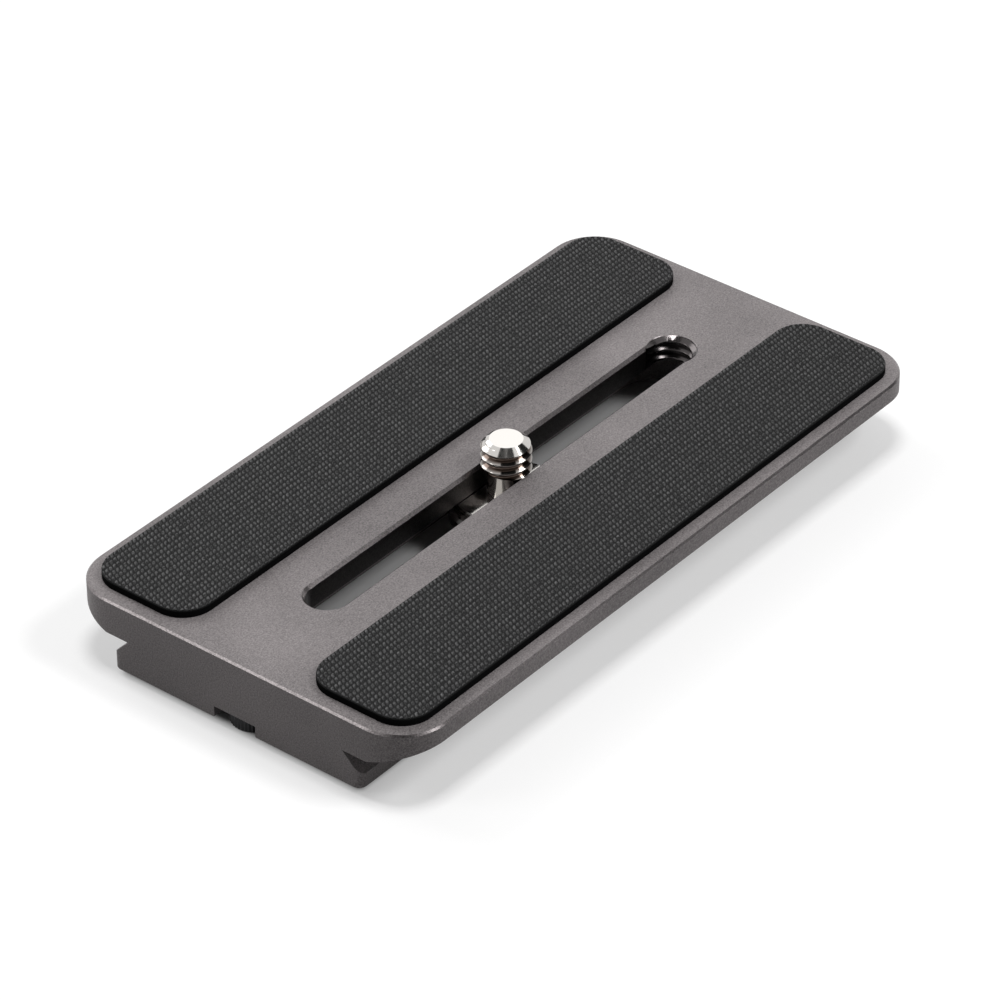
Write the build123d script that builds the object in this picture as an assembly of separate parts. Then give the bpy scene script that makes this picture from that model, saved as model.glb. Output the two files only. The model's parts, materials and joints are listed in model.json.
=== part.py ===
"""Quick release plate for a tripod head: a dovetail plate with two rubber pads, a captive
camera screw with a folding ring, and a stop screw under each end.

Millimetres, +Z up. The origin is under the plate's centre, on the plane that the stop screws stand on.
+X runs along the plate, towards the threaded entry hole at the far end of the slot.
"""
from build123d import *
from math import radians, tan
import os

# Plate
PLATE_LENGTH = 100.0
PLATE_WIDTH = 52.6
PLATE_HEIGHT = 9.6
DECK_THICKNESS = 4.75
DECK_EDGE_HEIGHT = 2.4
DECK_EDGE_ANGLE = 20.0
DECK_CORNER_RADIUS = 6.4
TOP_BEVEL = 0.25

# Dovetail under the deck
DOVETAIL_WIDTH = 38.0
DOVETAIL_LAND_HEIGHT = 2.2
DOVETAIL_ANGLE = 45.0
DOVETAIL_CORNER_RADIUS = 1.2
DOVETAIL_BEVEL = 0.3

# Rubber pads
PAD_WIDTH = 15.75
PAD_THICKNESS = 1.15
PAD_END_MARGIN = 2.0
PAD_SIDE_MARGIN = 1.9
PAD_CORNER_RADIUS = 4.2
PAD_EDGE_RADIUS = 0.15

# Camera screw: thread above the deck, neck in the slot, head in the recess
SCREW_REST_X = 0.35
THREAD_DIAMETER = 6.35
THREAD_LENGTH = 4.2
THREAD_TIP_DIAMETER = 4.2
THREAD_TIP_HEIGHT = 0.75
THREAD_END_BEVEL = 0.1
NECK_DIAMETER = 4.6
FLANGE_DIAMETER = 14.7
FLANGE_THICKNESS = 1.3
HEAD_BEVEL = 0.2
BOSS_HEIGHT = 1.9
COIN_SLOT_WIDTH = 1.4
COIN_SLOT_DEPTH = 1.2

# Folding ring and the lugs that hold it
RING_WIRE_DIAMETER = 1.4
RING_INNER_BEND = 0.3
RING_OVERHANG = 0.05
LUG_WALL = 0.75
LUG_THICKNESS = 1.3

# Friction washer on the neck
WASHER_THICKNESS = 0.8
WASHER_STEP = 0.75

# Slot, entry hole and recess for the camera screw
LIP_THICKNESS = 3.2
SLOT_NEAR_MARGIN = 16.9
SLOT_FAR_MARGIN = 16.5
SLOT_BEVEL = 0.4
ENTRY_BEVEL = 0.1
RECESS_BEVEL = 0.3

# Stop screws and the notches they sit in
STOP_INSET = 3.25
STOP_HEAD_DIAMETER = 5.5
STOP_HEAD_BEVEL = 0.25
STOP_PROUD = 0.55
STOP_SHANK_DIAMETER = 3.0
STOP_SHANK_LENGTH = 5.0
STOP_SOCKET_FLATS = 2.5
STOP_SOCKET_DEPTH = 1.3
NOTCH_DEPTH = 1.85
NOTCH_BEVEL = 0.4

# Bevels at the mouths of the slot, the entry hole, the recess and the notches
BEVEL_ANGLE = 45.0

# Clearances
NECK_CLEARANCE = 0.35
HEAD_CLEARANCE = 0.4
PIVOT_CLEARANCE = 0.05
BORE_CLEARANCE = 0.05
FACE_CLEARANCE = 0.05
LIP_CLEARANCE = 0.1
RING_CLEARANCE = 0.3
LUG_CLEARANCE = 0.2
BOSS_CLEARANCE = 0.4
STOP_HEAD_CLEARANCE = 0.4
SHANK_CLEARANCE = 0.05
SHANK_END_CLEARANCE = 0.6
ENTRY_CLEARANCE = 0.025

# Heights
PLATE_BOTTOM = STOP_PROUD
DECK_TOP = PLATE_BOTTOM + PLATE_HEIGHT
DECK_UNDERSIDE = DECK_TOP - DECK_THICKNESS
DECK_EDGE_BASE = DECK_TOP - DECK_EDGE_HEIGHT
DOVETAIL_LAND_TOP = PLATE_BOTTOM + DOVETAIL_LAND_HEIGHT
CEILING = DECK_TOP - LIP_THICKNESS
WASHER_TOP = CEILING - LIP_CLEARANCE
WASHER_BASE = WASHER_TOP - WASHER_THICKNESS
FLANGE_TOP = WASHER_BASE - FACE_CLEARANCE
FLANGE_BASE = FLANGE_TOP - FLANGE_THICKNESS
BOSS_BASE = FLANGE_BASE - BOSS_HEIGHT
RING_AXIS = FLANGE_BASE - RING_CLEARANCE - RING_WIRE_DIAMETER / 2
THREAD_BASE = DECK_TOP + FACE_CLEARANCE
SCREW_TOP = THREAD_BASE + THREAD_LENGTH
NOTCH_CEILING = PLATE_BOTTOM + NOTCH_DEPTH

# Lengths and widths that follow from the pieces they take
SLOT_NEAR_X = SLOT_NEAR_MARGIN - PLATE_LENGTH / 2
SLOT_FAR_X = PLATE_LENGTH / 2 - SLOT_FAR_MARGIN
SLOT_WIDTH = NECK_DIAMETER + 2 * NECK_CLEARANCE
ENTRY_RADIUS = THREAD_DIAMETER / 2 + ENTRY_CLEARANCE
RING_REACH = FLANGE_DIAMETER / 2 + RING_OVERHANG
RECESS_WIDTH = 2 * (RING_REACH + HEAD_CLEARANCE)
RING_BEND_RADIUS = RING_INNER_BEND + RING_WIRE_DIAMETER / 2
RING_LEG_Y = RING_REACH - RING_WIRE_DIAMETER / 2 - RING_BEND_RADIUS
PIVOT_RADIUS = RING_WIRE_DIAMETER / 2 + PIVOT_CLEARANCE
LUG_RADIUS = PIVOT_RADIUS + LUG_WALL
LUG_OUTER_Y = RING_LEG_Y - RING_BEND_RADIUS - LUG_CLEARANCE
LUG_INNER_Y = LUG_OUTER_Y - LUG_THICKNESS
BOSS_RADIUS = LUG_INNER_Y - BOSS_CLEARANCE
STOP_X = PLATE_LENGTH / 2 - STOP_INSET
NOTCH_WIDTH = STOP_HEAD_DIAMETER + 2 * STOP_HEAD_CLEARANCE


def rounded_prism(length, width, radius):
    """Upright block from the ground to the deck top, with rounded corners in plan."""
    return extrude(RectangleRounded(length, width, radius), DECK_TOP)


def long_bar(*half_section):
    """Bar along X whose section is the given (y, z) points, mirrored about the centre plane."""
    mirrored = [(-y, z) for y, z in reversed(half_section)]
    section = make_face(Polyline(*half_section, *mirrored, close=True))
    return extrude(Plane.YZ * section, PLATE_LENGTH / 2, both=True)


def bevelled_cut(outline, grown_outline, start, end, bevel):
    """Straight cut from start to end, with a bevel at its start."""
    straight = extrude(Pos(0, 0, start) * outline, end - start)
    depth = bevel if end > start else -bevel
    return straight + extrude(Pos(0, 0, start) * grown_outline, depth, taper=BEVEL_ANGLE)


def deck():
    """Upper slab: straight edge, sloped underside along both sides, corners cut straight down."""
    half = PLATE_WIDTH / 2
    run = (DECK_EDGE_BASE - DECK_UNDERSIDE) / tan(radians(DECK_EDGE_ANGLE))
    bar = long_bar((half - run, DECK_UNDERSIDE), (half, DECK_EDGE_BASE), (half, DECK_TOP))
    slab = bar & rounded_prism(PLATE_LENGTH, PLATE_WIDTH, DECK_CORNER_RADIUS)
    return chamfer(slab.faces().sort_by(Axis.Z)[-1].edges(), TOP_BEVEL)


def dovetail():
    """Lower bar: an upright land, then a slope that runs in to the notch under the deck."""
    half = DOVETAIL_WIDTH / 2
    run = (DECK_UNDERSIDE - DOVETAIL_LAND_TOP) / tan(radians(DOVETAIL_ANGLE))
    bar = long_bar((half, PLATE_BOTTOM), (half, DOVETAIL_LAND_TOP), (half - run, DECK_UNDERSIDE))
    rail = bar & rounded_prism(PLATE_LENGTH, DOVETAIL_WIDTH, DOVETAIL_CORNER_RADIUS)
    return chamfer(rail.faces().sort_by(Axis.Z)[0].edges(), DOVETAIL_BEVEL)


def slot_outline(width):
    """Plan of the slot or of the recess under it, with round ends."""
    middle = (SLOT_NEAR_X + SLOT_FAR_X) / 2
    return Pos(middle, 0) * SlotCenterToCenter(SLOT_FAR_X - SLOT_NEAR_X, width)


def screw_slot():
    """Slot for the neck, bevelled at the deck, with the entry hole for the thread at its far end."""
    grown = slot_outline(SLOT_WIDTH + 2 * SLOT_BEVEL)
    entry = Pos(SLOT_FAR_X, 0) * Circle(ENTRY_RADIUS)
    entry_grown = Pos(SLOT_FAR_X, 0) * Circle(ENTRY_RADIUS + ENTRY_BEVEL)
    slot = bevelled_cut(slot_outline(SLOT_WIDTH), grown, DECK_TOP, CEILING, SLOT_BEVEL)
    return slot + bevelled_cut(entry, entry_grown, DECK_TOP, CEILING, ENTRY_BEVEL)


def head_recess():
    """Wide recess under the lip, open at the bottom, for the head and the folded ring."""
    grown = slot_outline(RECESS_WIDTH + 2 * RECESS_BEVEL)
    return bevelled_cut(slot_outline(RECESS_WIDTH), grown, PLATE_BOTTOM, CEILING, RECESS_BEVEL)


def notch_outline(width):
    """Plan of a stop screw's notch: round about the screw and open at the plate's end."""
    mouth = Pos(STOP_INSET, 0) * Rectangle(2 * STOP_INSET, width)
    return mouth + Circle(width / 2)


def stop_notch():
    """Notch for a stop screw's head, with the hole for its shank, about the screw's axis."""
    grown = notch_outline(NOTCH_WIDTH + 2 * NOTCH_BEVEL)
    notch = bevelled_cut(notch_outline(NOTCH_WIDTH), grown, PLATE_BOTTOM, NOTCH_CEILING, NOTCH_BEVEL)
    depth = STOP_SHANK_LENGTH + SHANK_END_CLEARANCE
    hole = extrude(Circle(STOP_SHANK_DIAMETER / 2 + SHANK_CLEARANCE), depth)
    return notch + Pos(0, 0, NOTCH_CEILING) * hole


def plate_body():
    """Deck and dovetail in one machined piece, with everything cut into it."""
    body = deck() + dovetail()
    body -= screw_slot()
    body -= head_recess()
    notch = stop_notch()
    body -= Pos(STOP_X, 0, 0) * notch
    body -= Pos(-STOP_X, 0, 0) * Rot(0, 0, 180) * notch
    return body


def pad(side):
    """Rubber strip along one side of the deck: side is 1 on the +Y side and -1 on the other."""
    length = PLATE_LENGTH - 2 * PAD_END_MARGIN
    slab = extrude(RectangleRounded(length, PAD_WIDTH, PAD_CORNER_RADIUS), PAD_THICKNESS)
    slab = fillet(slab.faces().sort_by(Axis.Z)[-1].edges(), PAD_EDGE_RADIUS)
    middle = PLATE_WIDTH / 2 - PAD_SIDE_MARGIN - PAD_WIDTH / 2
    return Pos(0, side * middle, DECK_TOP) * slab


def turned_screw():
    """The screw as it leaves the lathe: thread, neck, flange and boss about the Z axis."""
    thread = THREAD_DIAMETER / 2
    tip = THREAD_TIP_DIAMETER / 2
    neck = NECK_DIAMETER / 2
    flange = FLANGE_DIAMETER / 2
    section = Polyline(
        (0, SCREW_TOP),
        (tip, SCREW_TOP),
        (thread, SCREW_TOP - THREAD_TIP_HEIGHT),
        (thread, THREAD_BASE + THREAD_END_BEVEL),
        (thread - THREAD_END_BEVEL, THREAD_BASE),
        (neck, THREAD_BASE),
        (neck, FLANGE_TOP),
        (flange - HEAD_BEVEL, FLANGE_TOP),
        (flange, FLANGE_TOP - HEAD_BEVEL),
        (flange, FLANGE_BASE + HEAD_BEVEL),
        (flange - HEAD_BEVEL, FLANGE_BASE),
        (BOSS_RADIUS, FLANGE_BASE),
        (BOSS_RADIUS, BOSS_BASE + HEAD_BEVEL),
        (BOSS_RADIUS - HEAD_BEVEL, BOSS_BASE),
        (0, BOSS_BASE),
        close=True,
    )
    return revolve(Plane.XZ * make_face(section), Axis.Z)


def ring_lug(side):
    """Lug under the flange with the pivot hole for one end of the ring."""
    drop = FLANGE_BASE - RING_AXIS
    outline = Pos(0, drop / 2) * Rectangle(2 * LUG_RADIUS, drop) + Circle(LUG_RADIUS)
    outline -= Circle(PIVOT_RADIUS)
    middle = side * (LUG_INNER_Y + LUG_OUTER_Y) / 2
    return Pos(0, middle, RING_AXIS) * extrude(Plane.XZ * outline, LUG_THICKNESS / 2, both=True)


def camera_screw():
    """Captive screw with a coin slot in its boss and a lug on each side for the ring."""
    coin_slot = Pos(0, 0, BOSS_BASE) * Box(2 * BOSS_RADIUS, COIN_SLOT_WIDTH, 2 * COIN_SLOT_DEPTH)
    screw = turned_screw() - coin_slot + ring_lug(1) + ring_lug(-1)
    return Pos(SCREW_REST_X, 0, 0) * screw


def friction_washer():
    """Flat washer on the neck, between the lip and the screw's flange."""
    bore = Circle(NECK_DIAMETER / 2 + BORE_CLEARANCE)
    ring = Circle(FLANGE_DIAMETER / 2 - WASHER_STEP) - bore
    return Pos(SCREW_REST_X, 0, WASHER_BASE) * extrude(ring, WASHER_THICKNESS)


def d_ring():
    """Bent wire ring, folded flat towards the near end, with both ends in the lugs."""
    bend_y = RING_LEG_Y - RING_BEND_RADIUS
    far_x = -RING_BEND_RADIUS - RING_LEG_Y
    path = Wire([
        Line((0, LUG_INNER_Y), (0, bend_y)),
        TangentArc((0, bend_y), (-RING_BEND_RADIUS, RING_LEG_Y), tangent=(0, 1)),
        ThreePointArc((-RING_BEND_RADIUS, RING_LEG_Y), (far_x, 0), (-RING_BEND_RADIUS, -RING_LEG_Y)),
        TangentArc((-RING_BEND_RADIUS, -RING_LEG_Y), (0, -bend_y), tangent=(1, 0)),
        Line((0, -bend_y), (0, -LUG_INNER_Y)),
    ])
    start = Plane(origin=(0, LUG_INNER_Y, 0), z_dir=(0, 1, 0))
    wire = sweep(start * Circle(RING_WIRE_DIAMETER / 2), path)
    return Pos(SCREW_REST_X, 0, RING_AXIS) * wire


def stop_screw(side):
    """Socket-head stop screw in one end's notch: side is 1 at the far end and -1 at the near end."""
    head_height = NOTCH_DEPTH + STOP_PROUD
    head = extrude(Circle(STOP_HEAD_DIAMETER / 2), head_height)
    head = chamfer(head.faces().sort_by(Axis.Z)[0].edges(), STOP_HEAD_BEVEL)
    head -= extrude(RegularPolygon(STOP_SOCKET_FLATS / 2, 6, major_radius=False), STOP_SOCKET_DEPTH)
    shank = extrude(Circle(STOP_SHANK_DIAMETER / 2), STOP_SHANK_LENGTH)
    return Pos(side * STOP_X, 0, 0) * (head + Pos(0, 0, head_height) * shank)


def main():
    """Writes every piece to its own file."""
    pieces = {
        "plate_body": plate_body(),
        "left_pad": pad(1),
        "right_pad": pad(-1),
        "camera_screw": camera_screw(),
        "friction_washer": friction_washer(),
        "d_ring": d_ring(),
        "near_stop_screw": stop_screw(-1),
        "far_stop_screw": stop_screw(1),
    }
    os.makedirs("parts", exist_ok=True)
    for name, piece in pieces.items():
        export_step(piece, f"parts/{name}.step")


if __name__ == "__main__":
    main()
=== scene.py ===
"""Quick release plate for a tripod head: its detailed pieces, their finishes and the studio."""

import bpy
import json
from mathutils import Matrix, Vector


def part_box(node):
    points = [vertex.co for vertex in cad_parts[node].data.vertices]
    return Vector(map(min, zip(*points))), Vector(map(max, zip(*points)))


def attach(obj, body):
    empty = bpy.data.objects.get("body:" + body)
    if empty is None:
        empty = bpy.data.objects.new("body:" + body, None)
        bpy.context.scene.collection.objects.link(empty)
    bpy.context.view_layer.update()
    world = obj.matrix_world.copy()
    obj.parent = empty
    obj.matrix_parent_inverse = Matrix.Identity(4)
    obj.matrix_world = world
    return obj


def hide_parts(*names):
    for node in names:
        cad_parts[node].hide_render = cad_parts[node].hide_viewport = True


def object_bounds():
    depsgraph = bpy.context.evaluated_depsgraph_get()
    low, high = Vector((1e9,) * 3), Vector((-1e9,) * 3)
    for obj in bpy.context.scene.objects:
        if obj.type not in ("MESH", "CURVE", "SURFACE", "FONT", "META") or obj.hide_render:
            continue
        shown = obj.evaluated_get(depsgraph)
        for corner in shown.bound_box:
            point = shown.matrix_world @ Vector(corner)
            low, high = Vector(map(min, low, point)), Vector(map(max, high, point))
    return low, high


bl_info = {
    "name": "Quick Release Plate",
    "version": (1, 0, 0),
    "blender": (4, 5, 0),
    "location": "3D View > Sidebar > Plate",
    "description": "Models the fine detail of a tripod quick release plate and sets it in a studio",
    "category": "Object",
}

import json
from math import cos, pi, radians, sin, tau

import bpy
from bpy.props import FloatProperty, FloatVectorProperty, IntProperty, PointerProperty
from mathutils import Matrix, Vector

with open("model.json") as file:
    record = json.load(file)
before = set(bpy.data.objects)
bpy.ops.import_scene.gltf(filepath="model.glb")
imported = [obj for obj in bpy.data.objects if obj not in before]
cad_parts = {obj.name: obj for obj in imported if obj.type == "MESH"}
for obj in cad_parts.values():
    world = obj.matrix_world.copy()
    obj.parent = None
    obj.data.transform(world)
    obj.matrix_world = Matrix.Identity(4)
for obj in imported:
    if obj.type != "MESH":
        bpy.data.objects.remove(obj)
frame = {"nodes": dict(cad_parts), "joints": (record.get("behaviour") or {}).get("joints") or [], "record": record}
CAD_LOW, CAD_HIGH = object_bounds()

MM = 0.001

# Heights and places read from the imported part
PAD_LOW, PAD_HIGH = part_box("left_pad")
SCREW_LOW, SCREW_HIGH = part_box("camera_screw")
WASHER_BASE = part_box("friction_washer")[0].z
RING_LOW, RING_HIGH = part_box("d_ring")
STOP_LOW, STOP_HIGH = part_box("far_stop_screw")
MOUNTS = {mount["name"]: mount for mount in frame["record"]["mounts"]}
JOINTS = {joint["name"]: joint for joint in frame["joints"]}
THREAD_MOUNT = MOUNTS["camera_thread"]
DECK_TOP = PAD_LOW.z
SCREW_X = THREAD_MOUNT["pos_m"][0]
CREST_RADIUS = THREAD_MOUNT["dims"]["r_mm"] * MM
ENTRY_X = SCREW_X + JOINTS["screw_slide"]["range_m"][1]
RING_AXIS = JOINTS["ring_fold"]["pos_m"][2]
DOVETAIL_HALF_WIDTH = MOUNTS["dovetail"]["pos_m"][1]

# Camera screw, from its thread down to its lugs
FACE_GAP = 0.05 * MM
THREAD_BASE = DECK_TOP + FACE_GAP
THREAD_BASE_BEVEL = 0.1 * MM
THREAD_CLEARANCE = 0.1 * MM
TIP_RADIUS = 2.1 * MM
TIP_BASE = THREAD_MOUNT["pos_m"][2] + THREAD_MOUNT["dims"]["length_mm"] * MM / 2
NECK_RADIUS = 2.3 * MM
FLANGE_RADIUS = (SCREW_HIGH.x - SCREW_LOW.x) / 2
FLANGE_THICKNESS = 1.3 * MM
FLANGE_TOP = WASHER_BASE - FACE_GAP
FLANGE_BASE = FLANGE_TOP - FLANGE_THICKNESS
HEAD_BEVEL = 0.2 * MM
BOSS_RADIUS = 2.8 * MM
BOSS_HEIGHT = 1.9 * MM
BOSS_BASE = FLANGE_BASE - BOSS_HEIGHT
COIN_SLOT_WIDTH = 1.4 * MM
COIN_SLOT_DEPTH = 1.2 * MM
LUG_INNER_Y = 3.2 * MM
LUG_OUTER_Y = 4.5 * MM
LUG_RADIUS = RING_AXIS - SCREW_LOW.z
LUG_ROUNDING = 0.99 * LUG_RADIUS
PIVOT_PLAY = 0.05 * MM
PIVOT_RADIUS = (RING_HIGH.z - RING_LOW.z) / 2 + PIVOT_PLAY

# Slot and entry hole
RIM_BEVEL = 0.25 * MM
SLOT_HALF_WIDTH = 2.65 * MM
SLOT_BEVEL = 0.4 * MM
LIP_THICKNESS = 3.2 * MM
ENTRY_RADIUS = 3.2 * MM
ENTRY_BEVEL = 0.1 * MM
ENTRY_MOUTH_DEPTH = 0.4 * MM
ENTRY_OVERLAP = 0.05 * MM

# Stop screws
STOP_RADIUS = (STOP_HIGH.x - STOP_LOW.x) / 2
STOP_HEAD_HEIGHT = 2.4 * MM
STOP_BEVEL = 0.25 * MM
STOP_SHOULDER_BEVEL = STOP_BEVEL / 2
STOP_SHANK_RADIUS = 1.5 * MM
STOP_SOCKET_DEPTH = 1.3 * MM
HEXAGON_SIDES = 6

# Form of one bead: powers that fill out its two roundings, and its lean and the height of the gap
# beside its row as shares of a bead
BEAD_FULLNESS = 0.8
BEAD_TAPER = 0.6
BEAD_LEAN = 0.75
ROW_GAP_HEIGHT = 0.3

# Fineness of the meshes, and what is made to spare before a piece is cut to size
TURNS_SEGMENTS = 64
LUG_SEGMENTS = 12
CORNER_SEGMENTS = 16
RIM_SEGMENTS = 3
BEAD_CELLS = 4
SPARE_BEADS = 4
SPARE_ROW_PAIRS = 2
SPARE_TURNS = 3
WELD_DISTANCE = 0.005 * MM

# Angles between faces up to which a piece is shaded smooth
SMOOTH_ANGLE = radians(32)
PAD_SMOOTH_ANGLE = radians(50)
KNURL_SMOOTH_ANGLE = radians(20)

# A face of a pad whose normal rises less than this is on the pad's cut edge
UPRIGHT = 0.05

# Outline of one turn of a thread: place along the pitch, and depth under the crest
THREAD_OUTLINE = [
    (-0.5, 1), (-0.42, 0.96), (-0.36, 0.85), (-0.13, 0.15), (-0.07, 0.03), (0, 0),
    (0.07, 0.03), (0.13, 0.15), (0.36, 0.85), (0.42, 0.96), (0.5, 1),
]

# Grain: middle of a noise value, broad patches beside the fine grain, and its part in the roughness
NOISE_MIDDLE = 0.5
PATCH_FINENESS = 0.012
PATCH_STRENGTH = 0.4
GRAIN_IN_ROUGHNESS = 0.25

# Milled slot, bevels and entry hole: half the size of the zone round the slot, their finish, and the painted shade
# on the slot's walls and in the entry hole
SLOT_ZONE_LENGTH = 38 * MM
SLOT_ZONE_WIDTH = 3.1 * MM
MACHINED = {"Metallic": 1.0, "Roughness": 0.3, "Height": 0.5}
# Share by which the slot's walls are darkened: painted shade
SLOT_WALL_PAINTED_SHADE = 0.65
# Share of the plate's colour left on the entry hole's wall: painted shade
ENTRY_PAINTED_SHADE = 0.4

# Distance within which a place counts as on a face
SKIN = 0.01 * MM

# Shine on the pads' beads: where it begins and is full, in bead heights under the top, and its patches
SHINE_BEGINS = 0.75
SHINE_IS_FULL = 0.1
SHINE_PATCHES_PER_BEAD = 2
SHINE_THRESHOLD = 0.3
SHINE_GAIN = 2.3
SHINE_ROUGHNESS = 0.4

# Painted shade in the thread: its depth in turns' heights, and its share on the crests
ROOT_DEPTH = 0.6
CREST_SHADE_SHARE = 0.45

# Lamps: place and width in metres, and power in watts
LAMPS = {
    "top_lamp": ((0.0, 0.0, 0.95), 0.25, 4.5),
    "left_lamp": ((0.05, 0.85, 0.55), 0.5, 3.0),
    "edge_lamp": ((-0.518, 0.462, 0.574), 0.25, 0.75),
    "right_lamp": ((0.3, -0.58, 0.757), 0.3, 4.4),
    "back_lamp": ((0.8, 0.65, 0.62), 1.1, 2.5),
}

# Black cards: place and size in metres
CARDS = {
    "dark_card": ((-0.5, -0.4, 1.12), (1.7, 1.4)),
    "side_card": ((0.83, -0.75, 0.67), (1.0, 0.8)),
}
CARD_COLOUR = (0.02, 0.02, 0.02)

# Floor in metres, and the camera's sensor in millimetres
FLOOR_SIZE = 6.0
FLOOR_ROUGHNESS = 0.9
SENSOR_WIDTH = 36
NEAREST_SEEN = 10 * MM

# Types of the node groups' sockets, and the colour sockets of a Mix node, which share their names
COLOUR = "NodeSocketColor"
VALUE = "NodeSocketFloat"
MIX_FIRST = 6
MIX_SECOND = 7
MIX_RESULT = 2


class PlateFinish(bpy.types.PropertyGroup):
    """Grey anodised finish of the plate."""

    colour: FloatVectorProperty(
        name="Colour", description="Colour of the anodised metal",
        subtype="COLOR", size=3, min=0, max=1, default=(0.168, 0.1535, 0.1545))
    grain: FloatProperty(
        name="Grain", description="Size of the blasted grain",
        unit="LENGTH", default=0.2 * MM)
    roughness: FloatProperty(
        name="Roughness", description="How dull the metal is",
        subtype="FACTOR", min=0, max=1, default=0.48)
    metallic: FloatProperty(
        name="Metallic", description="How much of the metal shows through the anodised layer",
        subtype="FACTOR", min=0, max=1, default=0.1)


class PadWeave(bpy.types.PropertyGroup):
    """Embossed rubber of the pads: rows of small leaning beads, each row half a bead along."""

    colour: FloatVectorProperty(
        name="Colour", description="Colour of the rubber",
        subtype="COLOR", size=3, min=0, max=1, default=(0.005, 0.005, 0.0052))
    bead_length: FloatProperty(
        name="Bead Length", description="Distance from bead to bead along a row",
        unit="LENGTH", default=0.658 * MM)
    row_pitch: FloatProperty(
        name="Row Pitch", description="Distance from row to row",
        unit="LENGTH", default=0.806 * MM)
    bead_height: FloatProperty(
        name="Bead Height", description="Height of a bead over the groove beside it",
        unit="LENGTH", default=0.2 * MM)
    corner_radius: FloatProperty(
        name="Corner Radius", description="Radius of the pads' corners",
        unit="LENGTH", default=4.2 * MM)
    rim_radius: FloatProperty(
        name="Rim Radius", description="Radius of the smooth rim round the pads' tops",
        unit="LENGTH", default=0.3 * MM)


class ScrewThread(bpy.types.PropertyGroup):
    """Thread of the camera screw and of the entry hole."""

    pitch: FloatProperty(
        name="Pitch", description="Distance from turn to turn",
        unit="LENGTH", default=1.27 * MM)
    depth: FloatProperty(
        name="Depth", description="Height of a turn, from root to crest",
        unit="LENGTH", default=0.687 * MM)
    start_angle: FloatProperty(
        name="Start Angle", description="Turn of the camera screw's thread about its axis",
        subtype="ANGLE", default=radians(-54))
    entry_angle: FloatProperty(
        name="Entry Angle", description="Turn of the entry hole's thread about its axis",
        subtype="ANGLE", default=radians(-154))
    colour: FloatVectorProperty(
        name="Colour", description="Colour of the polished steel",
        subtype="COLOR", size=3, min=0, max=1, default=(0.6, 0.58, 0.555))
    # Painted shade in the roots of the screw's thread, and partly on its crests
    root_painted_shade: FloatVectorProperty(
        name="Root Colour", description="Colour of the steel down between the turns",
        subtype="COLOR", size=3, min=0, max=1, default=(0.08, 0.06, 0.05))


class StopHead(bpy.types.PropertyGroup):
    """Knurled socket head of the stop screws."""

    ridges: IntProperty(
        name="Ridges", description="Number of ridges round the head", min=12, default=36)
    ridge_depth: FloatProperty(
        name="Ridge Depth", description="Depth of the grooves between the ridges",
        unit="LENGTH", default=0.12 * MM)
    socket_flats: FloatProperty(
        name="Socket Flats", description="Width of the hexagon socket across its flats",
        unit="LENGTH", default=2.5 * MM)
    colour: FloatVectorProperty(
        name="Colour", description="Colour of the black steel",
        subtype="COLOR", size=3, min=0, max=1, default=(0.02, 0.02, 0.021))


class Studio(bpy.types.PropertyGroup):
    """Camera, floor and surroundings."""

    azimuth: FloatProperty(
        name="Azimuth", description="Turn of the camera round the plate",
        subtype="ANGLE", default=radians(-51.2))
    elevation: FloatProperty(
        name="Elevation", description="Height of the camera over the floor",
        subtype="ANGLE", default=radians(35.1))
    roll: FloatProperty(
        name="Roll", description="Tilt of the camera about its own axis",
        subtype="ANGLE", default=radians(-0.155))
    distance: FloatProperty(
        name="Distance", description="Distance from the camera to the point it looks at",
        unit="LENGTH", default=631.1 * MM)
    target: FloatVectorProperty(
        name="Target", description="Point that the camera looks at",
        subtype="TRANSLATION", size=3, default=(0.22 * MM, 0.88 * MM, 5.0 * MM))
    lens: FloatProperty(
        name="Lens", description="Focal length in millimetres on a sensor 36 mm wide",
        unit="CAMERA", default=186.8)
    floor_shade: FloatProperty(
        name="Floor Shade", description="Paleness of the floor where it is seen",
        subtype="FACTOR", min=0, max=1, default=0.58)
    floor_bounce: FloatProperty(
        name="Floor Bounce", description="Paleness of the floor as a reflector of light onto the plate",
        subtype="FACTOR", min=0, max=1, default=0.34)
    floor_glow: FloatProperty(
        name="Floor Glow", description="White added to the floor where it is seen, away from the plate",
        subtype="FACTOR", min=0, max=1, default=0.39)
    # Band over which the glow fades out toward the dovetail, leaving painted shadow next to it
    glow_distance: FloatProperty(
        name="Glow Distance",
        description="Width of the band under the dovetail's edge in which the glow grows",
        unit="LENGTH", default=1.5 * MM)
    sky: FloatProperty(
        name="Sky", description="Strength of the surroundings as a lamp",
        subtype="FACTOR", min=0, max=1, default=0.15)


def activate(piece):
    """Makes a piece the only selected one."""
    bpy.ops.object.select_all(action="DESELECT")
    piece.select_set(True)
    bpy.context.view_layer.objects.active = piece


def name_piece(name):
    """Names the primitive that was just added and puts its place into its mesh."""
    piece = bpy.context.object
    piece.name = name
    piece.data.name = name
    activate(piece)
    bpy.ops.object.transform_apply(location=True, rotation=True, scale=True)
    return piece


def edit(piece, mode="VERT"):
    """Opens a piece in edit mode with everything selected."""
    activate(piece)
    bpy.ops.object.mode_set(mode="EDIT")
    bpy.ops.mesh.select_mode(type=mode)
    bpy.ops.mesh.select_all(action="SELECT")


def close_edit():
    """Turns all faces outwards and leaves edit mode."""
    bpy.ops.mesh.select_all(action="SELECT")
    bpy.ops.mesh.normals_make_consistent(inside=False)
    bpy.ops.object.mode_set(mode="OBJECT")


def select_edges(piece, wanted):
    """In edit mode, selects the edges whose two ends pass a test."""
    bpy.ops.mesh.select_all(action="DESELECT")
    bpy.ops.object.mode_set(mode="OBJECT")
    points = piece.data.vertices
    for edge in piece.data.edges:
        edge.select = wanted(*(points[i].co for i in edge.vertices))
    bpy.ops.object.mode_set(mode="EDIT")


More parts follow.
